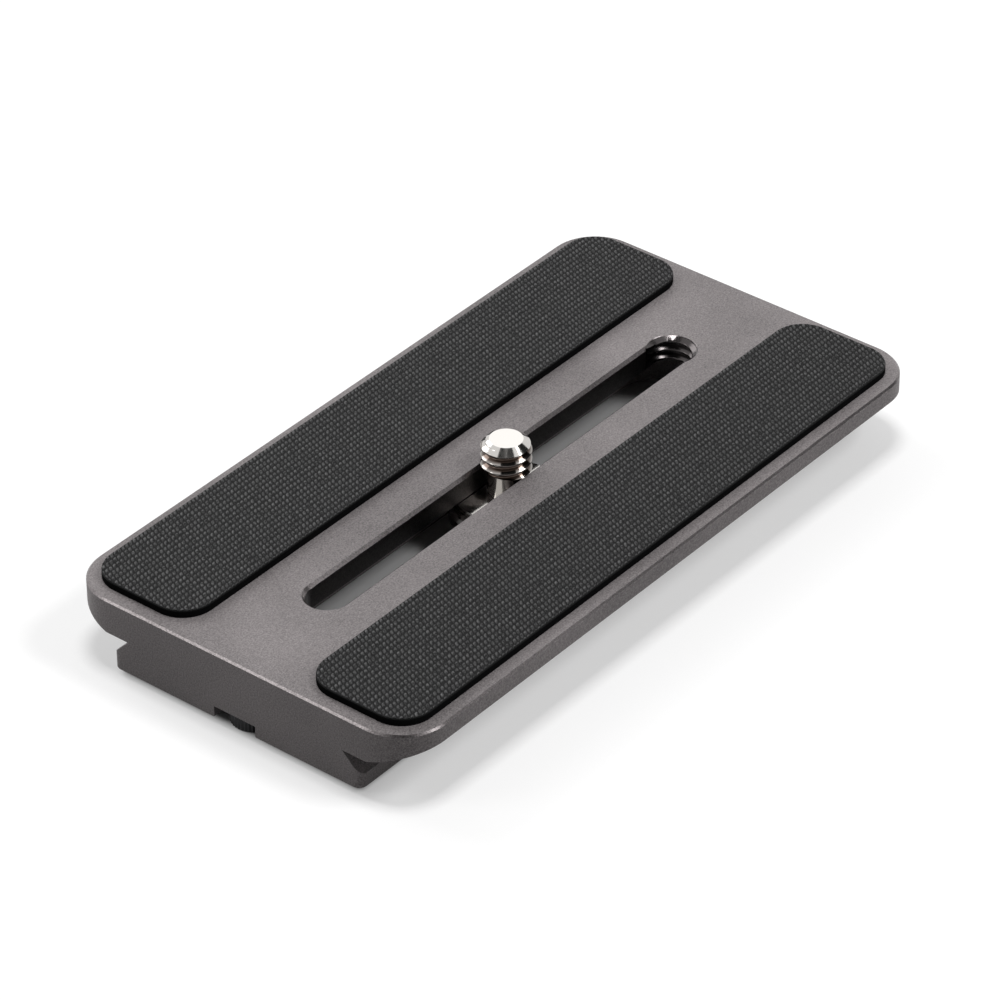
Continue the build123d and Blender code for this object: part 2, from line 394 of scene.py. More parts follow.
def select_open_edges():
    """In edit mode, selects the edges round the holes of an open mesh."""
    bpy.ops.mesh.select_all(action="DESELECT")
    bpy.ops.mesh.select_mode(type="EDGE")
    bpy.ops.mesh.select_non_manifold()


def apply_modifier(piece, kind, **settings):
    """Adds a modifier with these settings and applies it."""
    activate(piece)
    modifier = piece.modifiers.new(kind.title(), kind)
    for key, value in settings.items():
        setattr(modifier, key, value)
    bpy.ops.object.modifier_apply(modifier=modifier.name)


def combine(piece, tool, operation):
    """Joins, cuts or trims a closed piece with a closed tool, which is used up."""
    apply_modifier(piece, "BOOLEAN", object=tool, operation=operation, solver="MANIFOLD")
    bpy.data.objects.remove(tool)


def smooth(piece, angle=SMOOTH_ANGLE):
    """Shades a piece smooth, apart from its sharp edges."""
    activate(piece)
    bpy.ops.object.shade_smooth_by_angle(angle=angle)


def set_material(piece, material):
    """Gives a piece one material in place of those it has."""
    piece.data.materials.clear()
    piece.data.materials.append(material)


def finish_piece(piece, body, material, replaced=None):
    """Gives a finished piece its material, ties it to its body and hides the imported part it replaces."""
    set_material(piece, material)
    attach(piece, body)
    if replaced:
        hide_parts(replaced)


def turned(name, x, rings, segments=TURNS_SEGMENTS):
    """Solid of revolution about an upright axis at x, extruded ring by ring from (radius, height) pairs."""
    radius, height = rings[0]
    bpy.ops.mesh.primitive_circle_add(
        vertices=segments, radius=radius, fill_type="NGON", location=(x, 0, height))
    piece = name_piece(name)
    edit(piece)
    for next_radius, next_height in rings[1:]:
        rise = (0, 0, next_height - height)
        bpy.ops.mesh.extrude_region_move(TRANSFORM_OT_translate={"value": rise})
        scale = next_radius / radius
        bpy.ops.transform.resize(value=(scale, scale, 1), center_override=(x, 0, next_height))
        radius, height = next_radius, next_height
    close_edit()
    return piece


def block(name, low, high):
    """Box between two corners, ready to be shaped."""
    low, high = Vector(low), Vector(high)
    bpy.ops.mesh.primitive_cube_add(size=1, location=(low + high) / 2, scale=high - low)
    return name_piece(name)


def threaded_rod(name, x, base, top, crest, thread, start_angle):
    """Closed rod with a right-hand thread, longer at both ends than the thread that is kept of it."""
    pitch = thread.pitch
    outline = [(crest - thread.depth * down, pitch * along) for along, down in THREAD_OUTLINE]
    root = crest - thread.depth
    start = base - pitch
    bpy.ops.mesh.primitive_plane_add(size=pitch, location=(root, 0, start - pitch / 2))
    piece = name_piece(name)
    edit(piece)
    bpy.ops.mesh.merge(type="CENTER")
    for (radius, height), (next_radius, next_height) in zip(outline, outline[1:]):
        step = (next_radius - radius, 0, next_height - height)
        bpy.ops.mesh.extrude_vertices_move(TRANSFORM_OT_translate={"value": step})
    bpy.ops.object.mode_set(mode="OBJECT")
    turns = int((top - base) / pitch) + SPARE_TURNS
    apply_modifier(
        piece, "SCREW", axis="Z", angle=tau, screw_offset=pitch, iterations=turns,
        steps=TURNS_SEGMENTS, render_steps=TURNS_SEGMENTS)
    edit(piece)
    bpy.ops.mesh.remove_doubles(threshold=WELD_DISTANCE)
    middle = (base + top) / 2
    for side in (-1, 1):
        select_open_edges()
        bpy.ops.object.mode_set(mode="OBJECT")
        points = piece.data.vertices
        for edge in piece.data.edges:
            edge.select = edge.select and (points[edge.vertices[0]].co.z - middle) * side > 0
        bpy.ops.object.mode_set(mode="EDIT")
        bpy.ops.mesh.extrude_edges_move()
        bpy.ops.transform.resize(value=(0, 0, 1), center_override=(0, 0, 0))
        bpy.ops.mesh.merge(type="CENTER")
    bpy.ops.mesh.select_all(action="SELECT")
    bpy.ops.transform.rotate(value=-start_angle, orient_axis="Z", center_override=(0, 0, 0))
    bpy.ops.transform.translate(value=(x, 0, 0))
    close_edit()
    return piece


def add_node(tree, kind, **values):
    """Adds a shader node and sets the named inputs to plain values."""
    node = tree.nodes.new(kind)
    for key, value in values.items():
        node.inputs[key].default_value = value
    return node


def feed(tree, socket, value):
    """Feeds a socket from another socket or with a plain number."""
    if isinstance(value, bpy.types.NodeSocket):
        tree.links.new(value, socket)
    else:
        socket.default_value = value


def math_node(tree, operation, first, second=0.0):
    """Adds a Math node fed by sockets or plain numbers, and gives back its result."""
    node = tree.nodes.new("ShaderNodeMath")
    node.operation = operation
    feed(tree, node.inputs[0], first)
    feed(tree, node.inputs[1], second)
    return node.outputs["Value"]


def diagonal(tree, first, second):
    """Length of the diagonal over two distances at right angles."""
    squares = [math_node(tree, "MULTIPLY", side, side) for side in (first, second)]
    return math_node(tree, "SQRT", math_node(tree, "ADD", *squares))


def smooth_ramp(tree, value, limits):
    """Smooth step of a value between named limits, each a socket or a plain number."""
    ramp = tree.nodes.new("ShaderNodeMapRange")
    ramp.interpolation_type = "SMOOTHSTEP"
    tree.links.new(value, ramp.inputs["Value"])
    for name, limit in limits.items():
        feed(tree, ramp.inputs[name], limit)
    return ramp.outputs["Result"]


def shaded(tree, colour, shade):
    """Colour made darker or lighter by a shade."""
    scaled = tree.nodes.new("ShaderNodeVectorMath")
    scaled.operation = "SCALE"
    tree.links.new(colour, scaled.inputs[0])
    tree.links.new(shade, scaled.inputs["Scale"])
    return scaled.outputs["Vector"]


def object_place(tree):
    """Place on the piece, in Object coordinates."""
    return tree.nodes.new("ShaderNodeTexCoord").outputs["Object"]


def split_place(tree):
    """Place on the piece as separate X, Y and Z sockets."""
    split = tree.nodes.new("ShaderNodeSeparateXYZ")
    tree.links.new(object_place(tree), split.inputs["Vector"])
    return split.outputs


def noise(tree, fineness, **settings):
    """Noise over the piece, from 0 to 1."""
    node = add_node(tree, "ShaderNodeTexNoise", **settings)
    tree.links.new(object_place(tree), node.inputs["Vector"])
    tree.links.new(fineness, node.inputs["Scale"])
    return node.outputs["Fac"]


def inside(tree, place, limits):
    """Is 1 where every named axis, taken without its sign, is under its limit."""
    result = 1.0
    for axis, limit in limits.items():
        away = math_node(tree, "ABSOLUTE", place[axis])
        result = math_node(tree, "MULTIPLY", math_node(tree, "LESS_THAN", away, limit), result)
    return result


def new_group(name, inputs, outputs):
    """Node group with these sockets, each a name and a type, and its two end nodes."""
    group = bpy.data.node_groups.new(name, "ShaderNodeTree")
    for side, sockets in (("INPUT", inputs), ("OUTPUT", outputs)):
        for socket, kind in sockets.items():
            group.interface.new_socket(socket, in_out=side, socket_type=kind)
    return group, group.nodes.new("NodeGroupInput"), group.nodes.new("NodeGroupOutput")


def grain_group():
    """Node group for the fine uneven grain of blasted metal and moulded rubber."""
    name = "fine_grain"
    if name in bpy.data.node_groups:
        return bpy.data.node_groups[name]
    inputs = {"Colour": COLOUR, "Fineness": VALUE, "Variation": VALUE, "Roughness": VALUE}
    outputs = {"Colour": COLOUR, "Roughness": VALUE, "Height": VALUE}
    group, start, end = new_group(name, inputs, outputs)
    fineness = start.outputs["Fineness"]
    fine = noise(group, fineness, Detail=3.0, Roughness=0.65)
    broad = noise(group, math_node(group, "MULTIPLY", fineness, PATCH_FINENESS), Detail=2.0)
    fine_part = math_node(group, "SUBTRACT", fine, NOISE_MIDDLE)
    broad_part = math_node(group, "SUBTRACT", broad, NOISE_MIDDLE)
    broad_part = math_node(group, "MULTIPLY", broad_part, PATCH_STRENGTH)
    uneven = math_node(group, "ADD", fine_part, broad_part)
    shade = math_node(group, "MULTIPLY", uneven, start.outputs["Variation"])
    shade = math_node(group, "ADD", shade, 1.0)
    group.links.new(shaded(group, start.outputs["Colour"], shade), end.inputs["Colour"])
    dull = math_node(group, "MULTIPLY", uneven, GRAIN_IN_ROUGHNESS)
    dull = math_node(group, "ADD", dull, start.outputs["Roughness"])
    group.links.new(dull, end.inputs["Roughness"])
    group.links.new(fine, end.inputs["Height"])
    return group


def machined_and_slot_shade_group():
    """Node group that makes the milled slot and the bevels smoother than the blasted faces, and darkens the slot's
    walls as painted shade.
    """
    sockets = {"Colour": COLOUR, **{name: VALUE for name in MACHINED}}
    group, start, end = new_group("machined_edges", sockets, sockets)
    place = split_place(group)
    slot = inside(group, place, {
        "X": SLOT_ZONE_LENGTH, "Y": SLOT_ZONE_WIDTH, "Z": DECK_TOP - SKIN})
    wall = inside(group, place, {
        "X": SLOT_ZONE_LENGTH, "Y": SLOT_HALF_WIDTH + SKIN, "Z": DECK_TOP - SLOT_BEVEL})
    under_rim = inside(group, place, {"Z": DECK_TOP - SKIN})
    over_side = math_node(group, "GREATER_THAN", place["Z"], DECK_TOP - RIM_BEVEL)
    rim = math_node(group, "MULTIPLY", under_rim, over_side)
    cut = math_node(group, "MAXIMUM", slot, rim)
    # Painted shade: the colour of the slot's walls under their bevels is darkened
    darker = math_node(group, "MULTIPLY", wall, SLOT_WALL_PAINTED_SHADE)
    shade = math_node(group, "SUBTRACT", 1.0, darker)
    group.links.new(shaded(group, start.outputs["Colour"], shade), end.inputs["Colour"])
    for name, value in MACHINED.items():
        change = math_node(group, "SUBTRACT", value, start.outputs[name])
        change = math_node(group, "MULTIPLY", change, cut)
        group.links.new(math_node(group, "ADD", start.outputs[name], change), end.inputs[name])
    return group


def bead_group():
    """Node group for the shine on the tops of the pads' beads, stronger on some than on others."""
    inputs = {"Groove": VALUE, "Top": VALUE, "Fineness": VALUE}
    group, start, end = new_group("bead_tops", inputs, {"Mask": VALUE})
    tops = smooth_ramp(group, split_place(group)["Z"], {
        "From Min": start.outputs["Groove"], "From Max": start.outputs["Top"]})
    shine = noise(group, start.outputs["Fineness"], Detail=1.0)
    shine = math_node(group, "SUBTRACT", shine, SHINE_THRESHOLD)
    shine = math_node(group, "MAXIMUM", shine, 0.0)
    shine = math_node(group, "MULTIPLY", shine, SHINE_GAIN)
    group.links.new(math_node(group, "MULTIPLY", tops, shine), end.inputs["Mask"])
    return group


def thread_shade_group(thread):
    """Node group for the painted shade in the screw's thread: full in the roots and 0 off the thread."""
    group, _, end = new_group("thread_roots", {}, {"Mask": VALUE})
    place = split_place(group)
    radius = diagonal(group, math_node(group, "SUBTRACT", place["X"], SCREW_X), place["Y"])
    depth = smooth_ramp(group, radius, {
        "From Min": CREST_RADIUS,
        "From Max": CREST_RADIUS - ROOT_DEPTH * thread.depth,
        "To Min": CREST_SHADE_SHARE,
    })
    over = math_node(group, "GREATER_THAN", place["Z"], THREAD_BASE)
    under = math_node(group, "LESS_THAN", place["Z"], TIP_BASE)
    on_thread = math_node(group, "MULTIPLY", over, under)
    group.links.new(math_node(group, "MULTIPLY", depth, on_thread), end.inputs["Mask"])
    return group


def grained_material(name, colour, grain, variation, roughness, bump, metallic=0.0, specular=0.5):
    """Material whose colour, dullness and surface follow the fine grain."""
    material = bpy.data.materials.new(name)
    material.use_nodes = True
    tree = material.node_tree
    shader = tree.nodes["Principled BSDF"]
    shader.inputs["Metallic"].default_value = metallic
    shader.inputs["Specular IOR Level"].default_value = specular
    finish = tree.nodes.new("ShaderNodeGroup")
    finish.node_tree = grain_group()
    finish.inputs["Colour"].default_value = (*colour, 1)
    finish.inputs["Fineness"].default_value = 1 / grain
    finish.inputs["Variation"].default_value = variation
    finish.inputs["Roughness"].default_value = roughness
    tree.links.new(finish.outputs["Colour"], shader.inputs["Base Color"])
    tree.links.new(finish.outputs["Roughness"], shader.inputs["Roughness"])
    relief = add_node(tree, "ShaderNodeBump", Strength=bump, Distance=grain)
    tree.links.new(finish.outputs["Height"], relief.inputs["Height"])
    tree.links.new(relief.outputs["Normal"], shader.inputs["Normal"])
    return material


def anodised_metal():
    """Grey anodised aluminium with a fine blasted grain, smoother where it is milled, with painted shade on the
    slot's walls.
    """
    finish = bpy.context.scene.plate_finish
    material = grained_material(
        "anodised_metal", finish.colour, grain=finish.grain, variation=2.2, roughness=finish.roughness,
        bump=0.3, metallic=finish.metallic, specular=0.15)
    tree = material.node_tree
    shader = tree.nodes["Principled BSDF"]
    cut = tree.nodes.new("ShaderNodeGroup")
    cut.node_tree = machined_and_slot_shade_group()
    cut.inputs["Metallic"].default_value = finish.metallic
    tree.links.new(cut.outputs["Metallic"], shader.inputs["Metallic"])
    relief = shader.inputs["Normal"].links[0].from_node
    changed = {
        "Colour": shader.inputs["Base Color"],
        "Roughness": shader.inputs["Roughness"],
        "Height": relief.inputs["Height"],
    }
    for name, socket in changed.items():
        tree.links.new(socket.links[0].from_socket, cut.inputs[name])
        tree.links.new(cut.outputs[name], socket)
    return material


def black_rubber():
    """Black moulded rubber, shinier on the tops of its beads than between them."""
    weave = bpy.context.scene.pad_weave
    material = grained_material(
        "black_rubber", weave.colour, grain=0.06 * MM, variation=0.5, roughness=0.5, bump=0.2,
        specular=0.07)
    tree = material.node_tree
    shader = tree.nodes["Principled BSDF"]
    shader.inputs["Coat Roughness"].default_value = SHINE_ROUGHNESS
    tops = tree.nodes.new("ShaderNodeGroup")
    tops.node_tree = bead_group()
    tops.inputs["Groove"].default_value = PAD_HIGH.z - SHINE_BEGINS * weave.bead_height
    tops.inputs["Top"].default_value = PAD_HIGH.z - SHINE_IS_FULL * weave.bead_height
    tops.inputs["Fineness"].default_value = SHINE_PATCHES_PER_BEAD / weave.bead_length
    tree.links.new(tops.outputs["Mask"], shader.inputs["Coat Weight"])
    return material


def cut_rubber():
    """Dull cut edge of the rubber."""
    weave = bpy.context.scene.pad_weave
    return grained_material(
        "cut_rubber", weave.colour, grain=0.1 * MM, variation=0.8, roughness=0.9, bump=0.3, specular=0.01)


def cut_metal():
    """Smooth wall of the tapped entry hole, its colour darkened as painted shade in the hole."""
    finish = bpy.context.scene.plate_finish
    return grained_material(
        "cut_metal", ENTRY_PAINTED_SHADE * finish.colour, grain=0.1 * MM, variation=0.4, roughness=0.18,
        bump=0.05, metallic=1.0)


def black_steel():
    """Black-finished steel of the stop screws."""
    head = bpy.context.scene.stop_head
    return grained_material(
        "black_steel", head.colour, grain=0.1 * MM, variation=0.4, roughness=0.4, bump=0.08, metallic=0.8)


def polished_steel():
    """Polished steel with painted shade down between the turns of the camera screw's thread, and partly on its
    crests.
    """
    thread = bpy.context.scene.screw_thread
    material = grained_material(
        "polished_steel", thread.colour, grain=0.08 * MM, variation=0.12, roughness=0.09, bump=0.02,
        metallic=1.0)
    tree = material.node_tree
    finish = next(node for node in tree.nodes if node.type == "GROUP")
    roots = tree.nodes.new("ShaderNodeGroup")
    roots.node_tree = thread_shade_group(thread)
    # Painted shade: the steel's colour is mixed toward the darker root colour by the thread's mask
    shade = tree.nodes.new("ShaderNodeMix")
    shade.data_type = "RGBA"
    shade.inputs[MIX_FIRST].default_value = (*thread.colour, 1)
    shade.inputs[MIX_SECOND].default_value = (*thread.root_painted_shade, 1)
    tree.links.new(roots.outputs["Mask"], shade.inputs["Factor"])
    tree.links.new(shade.outputs[MIX_RESULT], finish.inputs["Colour"])
    return material


class PLATE_OT_body(bpy.types.Operator):
    """Gives the machined plate its anodised finish"""

    bl_idname = "plate.body"
    bl_label = "Plate Body"

    def execute(self, context):
        set_material(frame["nodes"]["plate_body"], anodised_metal())
        return {"FINISHED"}


class PLATE_OT_entry_thread(bpy.types.Operator):
    """Cuts the turns of the tapped entry hole at the far end of the slot"""

    bl_idname = "plate.entry_thread"
    bl_label = "Entry Thread"

    def execute(self, context):
        thread = context.scene.screw_thread
        outer = ENTRY_RADIUS + ENTRY_OVERLAP
        bore = ENTRY_RADIUS - thread.depth
        base = DECK_TOP - LIP_THICKNESS + ENTRY_OVERLAP
        rim = DECK_TOP - ENTRY_BEVEL + ENTRY_OVERLAP
        mouth = rim - ENTRY_MOUTH_DEPTH
        ring = turned("entry_thread", ENTRY_X, [(outer, base), (outer, rim), (bore, mouth)])
        tap = threaded_rod("entry_tap", ENTRY_X, base, rim, ENTRY_RADIUS, thread, thread.entry_angle)
        combine(ring, tap, "DIFFERENCE")
        slot_low = (ENTRY_X - 2 * ENTRY_RADIUS, -SLOT_HALF_WIDTH, base - ENTRY_OVERLAP)
        slot_high = (ENTRY_X, SLOT_HALF_WIDTH, DECK_TOP + ENTRY_OVERLAP)
        combine(ring, block("entry_slot", slot_low, slot_high), "DIFFERENCE")
        smooth(ring)
        finish_piece(ring, "plate", cut_metal())
        return {"FINISHED"}


def bead_sheet(name, low, high, weave):
    """Closed slab whose top is one sheet of beads, larger than the pad that is cut from it."""
    beads = int((high.x - low.x) / weave.bead_length) + SPARE_BEADS
    row_pairs = int((high.y - low.y) / weave.row_pitch / 2) + SPARE_ROW_PAIRS
    first = Vector((low.x - weave.bead_length, low.y - weave.row_pitch, high.z - weave.bead_height))
    bead = Vector((weave.bead_length, weave.row_pitch, weave.bead_height))
    bpy.ops.mesh.primitive_grid_add(x_subdivisions=BEAD_CELLS, y_subdivisions=BEAD_CELLS, size=1)
    sheet = name_piece(name)
    for point in sheet.data.vertices:
        along, across = point.co.x, point.co.y
        ridge = max(cos(pi * along), 0) ** BEAD_FULLNESS
        taper = max(cos(pi * across), 0) ** BEAD_TAPER
        crown = ROW_GAP_HEIGHT + (ridge - ROW_GAP_HEIGHT) * taper
        point.co = Vector((along + BEAD_LEAN * across, across, crown)) * bead + first
    edit(sheet)
    next_row = (weave.bead_length / 2, weave.row_pitch, 0)
    bpy.ops.mesh.duplicate_move(TRANSFORM_OT_translate={"value": next_row})
    bpy.ops.object.mode_set(mode="OBJECT")
    pair_step = (0, 2 * weave.row_pitch, 0)
    bead_step = (weave.bead_length, 0, 0)
    for count, step in ((row_pairs, pair_step), (beads, bead_step)):
        apply_modifier(
            sheet, "ARRAY", count=count, use_relative_offset=False, use_constant_offset=True,
            constant_offset_displace=step, use_merge_vertices=True, merge_threshold=WELD_DISTANCE)
    edit(sheet)
    bpy.ops.mesh.remove_doubles(threshold=WELD_DISTANCE)
    select_open_edges()
    bpy.ops.mesh.extrude_edges_move()
    bpy.ops.transform.resize(value=(1, 1, 0), center_override=(0, 0, low.z - weave.bead_height))
    bpy.ops.mesh.edge_face_add()
    close_edit()
    return sheet


def embossed_pad(name, low, high, weave):
    """Rubber strip with beads on its top, cut to the pad's outline."""
    sheet = bead_sheet(name, low, high, weave)
    middle = (low.z + high.z) / 2
    outline = block(name + "_outline", low, high)
    edit(outline, "EDGE")
    select_edges(outline, lambda a, b: abs(a.z - b.z) > weave.bead_height)
    bpy.ops.mesh.bevel(offset=weave.corner_radius, segments=CORNER_SEGMENTS, affect="EDGES")
    select_edges(outline, lambda a, b: min(a.z, b.z) > middle)
    bpy.ops.mesh.bevel(offset=weave.rim_radius, segments=RIM_SEGMENTS, affect="EDGES")
    close_edit()
    combine(sheet, outline, "INTERSECT")
    smooth(sheet, PAD_SMOOTH_ANGLE)
    return sheet


class PLATE_OT_pads(bpy.types.Operator):
    """Models the two rubber pads with their embossed rows of beads"""

    bl_idname = "plate.pads"
    bl_label = "Rubber Pads"

    def execute(self, context):
        rubber = black_rubber()
        edge = cut_rubber()
        for name in ("left_pad", "right_pad"):
            pad = embossed_pad(name + "_rubber", *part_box(name), context.scene.pad_weave)
            finish_piece(pad, "plate", rubber, name)
            pad.data.materials.append(edge)
            for face in pad.data.polygons:
                face.material_index = int(abs(face.normal.z) < UPRIGHT)
        return {"FINISHED"}


def ring_lug(side):
    """Lug with a round lower end and the hole for one end of the ring."""
    inner, outer = sorted((side * LUG_INNER_Y, side * LUG_OUTER_Y))
    low = (SCREW_X - LUG_RADIUS, inner, RING_AXIS - LUG_RADIUS)
    high = (SCREW_X + LUG_RADIUS, outer, FLANGE_BASE + HEAD_BEVEL)
    lug = block("ring_lug", low, high)
    edit(lug, "EDGE")
    lowest = RING_AXIS - LUG_RADIUS / 2
    select_edges(lug, lambda a, b: max(a.z, b.z) < lowest and abs(a.x - b.x) < LUG_RADIUS)
    bpy.ops.mesh.bevel(offset=LUG_ROUNDING, segments=LUG_SEGMENTS, affect="EDGES")
    close_edit()
    bpy.ops.mesh.primitive_cylinder_add(
        vertices=TURNS_SEGMENTS, radius=PIVOT_RADIUS, depth=4 * (outer - inner),
        location=(SCREW_X, (inner + outer) / 2, RING_AXIS), rotation=(pi / 2, 0, 0))
    combine(lug, name_piece("pivot_hole"), "DIFFERENCE")
    return lug


def screw_head():
    """Neck, flange and slotted boss of the camera screw, with a lug on each side for the ring."""
    head = turned("screw_head", SCREW_X, [
        (NECK_RADIUS, THREAD_BASE + HEAD_BEVEL),
        (NECK_RADIUS, FLANGE_TOP),
        (FLANGE_RADIUS - HEAD_BEVEL, FLANGE_TOP),
        (FLANGE_RADIUS, FLANGE_TOP - HEAD_BEVEL),
        (FLANGE_RADIUS, FLANGE_BASE + HEAD_BEVEL),
        (FLANGE_RADIUS - HEAD_BEVEL, FLANGE_BASE),
        (BOSS_RADIUS, FLANGE_BASE),
        (BOSS_RADIUS, BOSS_BASE + HEAD_BEVEL),
        (BOSS_RADIUS - HEAD_BEVEL, BOSS_BASE),
    ])
    coin_low = (SCREW_X - 2 * BOSS_RADIUS, -COIN_SLOT_WIDTH / 2, BOSS_BASE - COIN_SLOT_DEPTH)
    coin_high = (SCREW_X + 2 * BOSS_RADIUS, COIN_SLOT_WIDTH / 2, BOSS_BASE + COIN_SLOT_DEPTH)
    combine(head, block("coin_slot", coin_low, coin_high), "DIFFERENCE")
    for side in (-1, 1):
        combine(head, ring_lug(side), "UNION")
    return head


class PLATE_OT_camera_screw(bpy.types.Operator):
    """Models the camera screw with its thread, coin slot and lugs, and finishes its washer and ring"""

    bl_idname = "plate.camera_screw"
    bl_label = "Camera Screw"

    def execute(self, context):
        thread = context.scene.screw_thread
        screw = threaded_rod(
            "camera_screw_steel", SCREW_X, THREAD_BASE, SCREW_HIGH.z, CREST_RADIUS, thread,
            thread.start_angle)
        clear = CREST_RADIUS + THREAD_CLEARANCE
        base_radius = CREST_RADIUS - THREAD_BASE_BEVEL
        tip_slope = (SCREW_HIGH.z - TIP_BASE) / (CREST_RADIUS - TIP_RADIUS)
        envelope = turned("thread_envelope", SCREW_X, [
            (base_radius, THREAD_BASE),
            (clear, THREAD_BASE + clear - base_radius),
            (clear, SCREW_HIGH.z - tip_slope * (clear - TIP_RADIUS)),
            (TIP_RADIUS, SCREW_HIGH.z),
        ])
        combine(screw, envelope, "INTERSECT")
        combine(screw, screw_head(), "UNION")
        smooth(screw)
        steel = polished_steel()
        finish_piece(screw, "screw", steel, "camera_screw")
        for name in ("friction_washer", "d_ring"):
            set_material(frame["nodes"][name], steel)
        return {"FINISHED"}


def stop_screw(name, x, base, top, head):
    """Socket-head screw, head down, with straight knurling round its head."""
    shoulder = base + STOP_HEAD_HEIGHT
    screw = turned(name, x, [
        (STOP_RADIUS - STOP_BEVEL, base),
        (STOP_RADIUS, base + STOP_BEVEL),
        (STOP_RADIUS, shoulder - STOP_SHOULDER_BEVEL),
        (STOP_RADIUS - STOP_SHOULDER_BEVEL, shoulder),
        (STOP_SHANK_RADIUS, shoulder),
        (STOP_SHANK_RADIUS, top - STOP_BEVEL),
        (STOP_SHANK_RADIUS - STOP_BEVEL, top),
    ], segments=2 * head.ridges)
    groove = 1 - head.ridge_depth / STOP_RADIUS
    for index, point in enumerate(screw.data.vertices):
        from_axis = Vector((point.co.x - x, point.co.y))
        if index % 2 and from_axis.length > STOP_RADIUS - STOP_SHOULDER_BEVEL / 2:
            point.co.x = x + from_axis.x * groove
            point.co.y = from_axis.y * groove
    bpy.ops.mesh.primitive_cylinder_add(
        vertices=HEXAGON_SIDES, radius=head.socket_flats / 2 / cos(pi / HEXAGON_SIDES),
        depth=2 * STOP_SOCKET_DEPTH, location=(x, 0, base))
    combine(screw, name_piece("hexagon_socket"), "DIFFERENCE")
    smooth(screw, KNURL_SMOOTH_ANGLE)
    return screw


class PLATE_OT_stop_screws(bpy.types.Operator):
    """Models the knurled stop screws under the plate's ends"""

    bl_idname = "plate.stop_screws"
    bl_label = "Stop Screws"

    def execute(self, context):
        steel = black_steel()
        for name in ("near_stop_screw", "far_stop_screw"):
            low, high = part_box(name)
            centre = (low.x + high.x) / 2
            screw = stop_screw(name + "_steel", centre, low.z, high.z, context.scene.stop_head)
            finish_piece(screw, "plate", steel, name)
        return {"FINISHED"}


def seen_directly(tree):
    """Is 1 for what the camera sees, also in metal and through glass, and 0 for light on the object."""
    path = tree.nodes.new("ShaderNodeLightPath")
    seen = math_node(tree, "MAXIMUM", path.outputs["Is Camera Ray"], path.outputs["Is Glossy Ray"])
    return math_node(tree, "MAXIMUM", seen, path.outputs["Is Transmission Ray"])


def floor_paint(studio):
    """Pale paint that glows where it is seen, apart from the ground under the dovetail, where the missing glow
    leaves painted shadow.
    """
    material = bpy.data.materials.new("pale_floor")
    material.use_nodes = True
    tree = material.node_tree
    shader = tree.nodes["Principled BSDF"]
    seen = seen_directly(tree)
    paler = math_node(tree, "MULTIPLY", seen, studio.floor_shade - studio.floor_bounce)
    tree.links.new(math_node(tree, "ADD", paler, studio.floor_bounce), shader.inputs["Base Color"])
    shader.inputs["Roughness"].default_value = FLOOR_ROUGHNESS
    shader.inputs["Specular IOR Level"].default_value = 0.0
    place = split_place(tree)
    # Painted shadow: the glow grows only outside a band round the dovetail, so the floor next to and under the
    # plate stays darker
    outside = []
    for axis, half_size in (("X", CAD_HIGH.x), ("Y", DOVETAIL_HALF_WIDTH)):
        away = math_node(tree, "ABSOLUTE", place[axis])
        away = math_node(tree, "SUBTRACT", away, half_size - studio.glow_distance)
        outside.append(math_node(tree, "MAXIMUM", away, 0.0))
    glow = smooth_ramp(tree, diagonal(tree, *outside), {
        "From Max": studio.glow_distance, "To Max": studio.floor_glow})
    white = tree.nodes.new("ShaderNodeEmission")
    both = tree.nodes.new("ShaderNodeAddShader")
    tree.links.new(math_node(tree, "MULTIPLY", seen, glow), white.inputs["Strength"])
    tree.links.new(shader.outputs["BSDF"], both.inputs[0])
    tree.links.new(white.outputs["Emission"], both.inputs[1])
    tree.links.new(both.outputs["Shader"], tree.nodes["Material Output"].inputs["Surface"])
    return material


def add_floor(studio):
    """Plain pale floor under the plate."""
    bpy.ops.mesh.primitive_plane_add(size=FLOOR_SIZE, location=(0, 0, CAD_LOW.z))
    floor = name_piece("floor")
    set_material(floor, floor_paint(studio))


def add_world(studio):
    """White surroundings, dimmer as a lamp than as a background."""
    world = bpy.data.worlds.new("studio_world")
    bpy.context.scene.world = world
    world.use_nodes = True
    tree = world.node_tree
    background = tree.nodes["Background"]
    background.inputs["Color"].default_value = (1, 1, 1, 1)
    strength = math_node(tree, "MAXIMUM", seen_directly(tree), studio.sky)
    tree.links.new(strength, background.inputs["Strength"])


def add_lamp(name, place, size, power):
    """Soft square lamp that points at the plate."""
    lamp = bpy.data.lights.new(name, "AREA")
    lamp.shape = "SQUARE"
    lamp.size = size
    lamp.energy = power
    holder = bpy.data.objects.new(name, lamp)
    bpy.context.scene.collection.objects.link(holder)
    holder.location = place
    holder.rotation_euler = (-Vector(place)).to_track_quat("-Z", "Y").to_euler()
    holder.visible_camera = False


def add_card(name, place, size):
    """Black card that faces the plate, which metal mirrors as a dark patch."""
    turn = Vector(place).to_track_quat("Z", "Y").to_euler()
    bpy.ops.mesh.primitive_plane_add(size=1, location=place, rotation=turn, scale=(*size, 1))
    card = name_piece(name)
    black = grained_material(name, CARD_COLOUR, grain=5 * MM, variation=0.2, roughness=0.9, bump=0.0)
    set_material(card, black)
    card.visible_camera = False


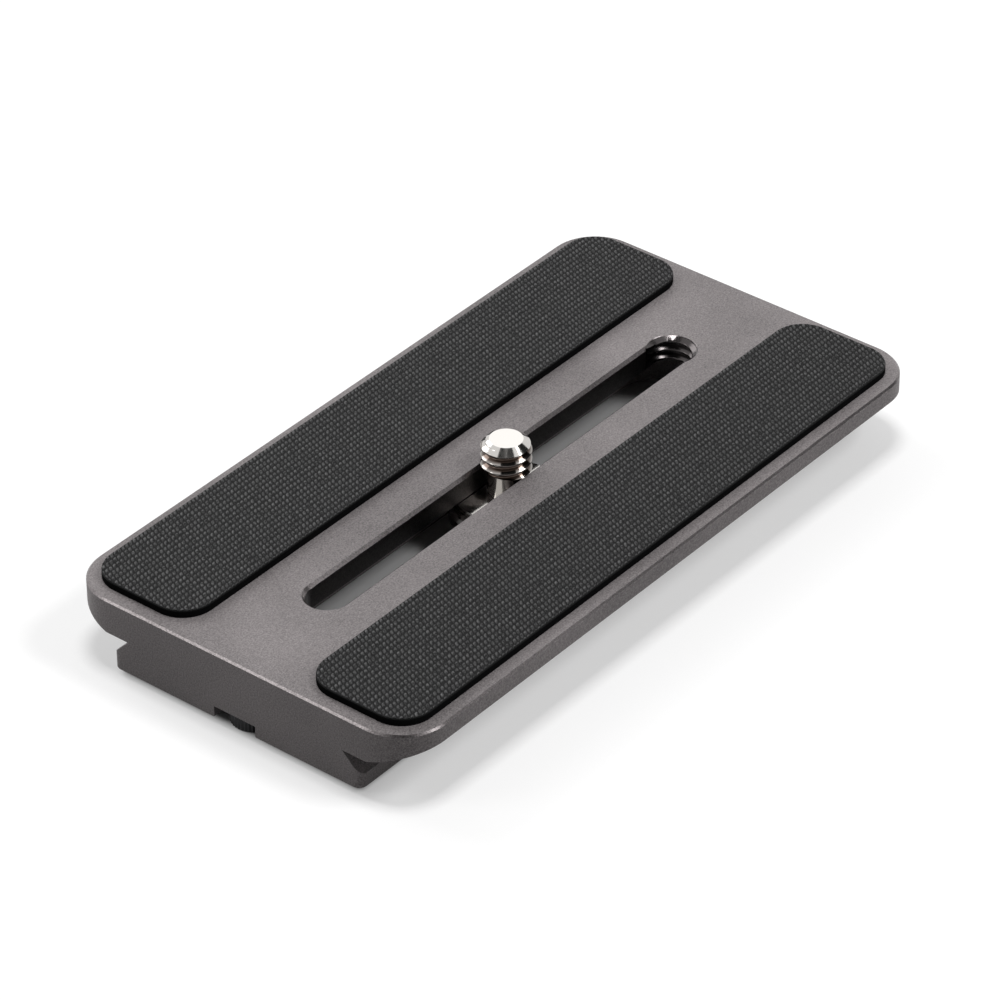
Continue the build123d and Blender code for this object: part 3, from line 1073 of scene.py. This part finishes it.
def add_camera(studio):
    """Camera at the picture's viewing angle."""
    lens = bpy.data.cameras.new("camera")
    lens.lens = studio.lens
    lens.sensor_width = SENSOR_WIDTH
    lens.clip_start = NEAREST_SEEN
    camera = bpy.data.objects.new("camera", lens)
    bpy.context.scene.collection.objects.link(camera)
    level = cos(studio.elevation)
    back = Vector((sin(studio.azimuth) * level, -cos(studio.azimuth) * level, sin(studio.elevation)))
    turn = back.to_track_quat("Z", "Y").to_matrix() @ Matrix.Rotation(studio.roll, 3, "Z")
    camera.location = Vector(studio.target) + back * studio.distance
    camera.rotation_euler = turn.to_euler()
    bpy.context.scene.camera = camera


class PLATE_OT_stage(bpy.types.Operator):
    """Sets the floor, the surroundings, the lamps, the black cards and the camera"""

    bl_idname = "plate.stage"
    bl_label = "Stage"

    def execute(self, context):
        studio = context.scene.studio
        add_floor(studio)
        add_world(studio)
        for name, (place, size, power) in LAMPS.items():
            add_lamp(name, place, size, power)
        for name, (place, size) in CARDS.items():
            add_card(name, place, size)
        add_camera(studio)
        context.scene.view_settings.view_transform = "Standard"
        return {"FINISHED"}


class PLATE_PT_panel(bpy.types.Panel):
    """Sidebar panel with the plate's settings and steps"""

    bl_idname = "PLATE_PT_panel"
    bl_label = "Quick Release Plate"
    bl_space_type = "VIEW_3D"
    bl_region_type = "UI"
    bl_category = "Plate"

    def draw(self, context):
        for group, step in STEPS:
            box = self.layout.box()
            settings = getattr(context.scene, group)
            for name in settings.__annotations__:
                box.prop(settings, name)
            box.operator(step)


SETTINGS = {
    "plate_finish": PlateFinish,
    "pad_weave": PadWeave,
    "screw_thread": ScrewThread,
    "stop_head": StopHead,
    "studio": Studio,
}
STEPS = [
    ("plate_finish", "plate.body"),
    ("screw_thread", "plate.entry_thread"),
    ("pad_weave", "plate.pads"),
    ("screw_thread", "plate.camera_screw"),
    ("stop_head", "plate.stop_screws"),
    ("studio", "plate.stage"),
]
CLASSES = (
    *SETTINGS.values(),
    PLATE_OT_body,
    PLATE_OT_entry_thread,
    PLATE_OT_pads,
    PLATE_OT_camera_screw,
    PLATE_OT_stop_screws,
    PLATE_OT_stage,
    PLATE_PT_panel,
)


def register():
    """Registers the classes and hangs the settings on the scene."""
    for cls in CLASSES:
        bpy.utils.register_class(cls)
    for name, cls in SETTINGS.items():
        setattr(bpy.types.Scene, name, PointerProperty(type=cls))


def unregister():
    """Takes the settings and the classes away again."""
    for name in SETTINGS:
        delattr(bpy.types.Scene, name)
    for cls in reversed(CLASSES):
        bpy.utils.unregister_class(cls)


def main():
    """Builds everything in order."""
    register()
    bpy.ops.plate.body()
    bpy.ops.plate.entry_thread()
    bpy.ops.plate.pads()
    bpy.ops.plate.camera_screw()
    bpy.ops.plate.stop_screws()
    bpy.ops.plate.stage()


if __name__ == "__main__":
    main()
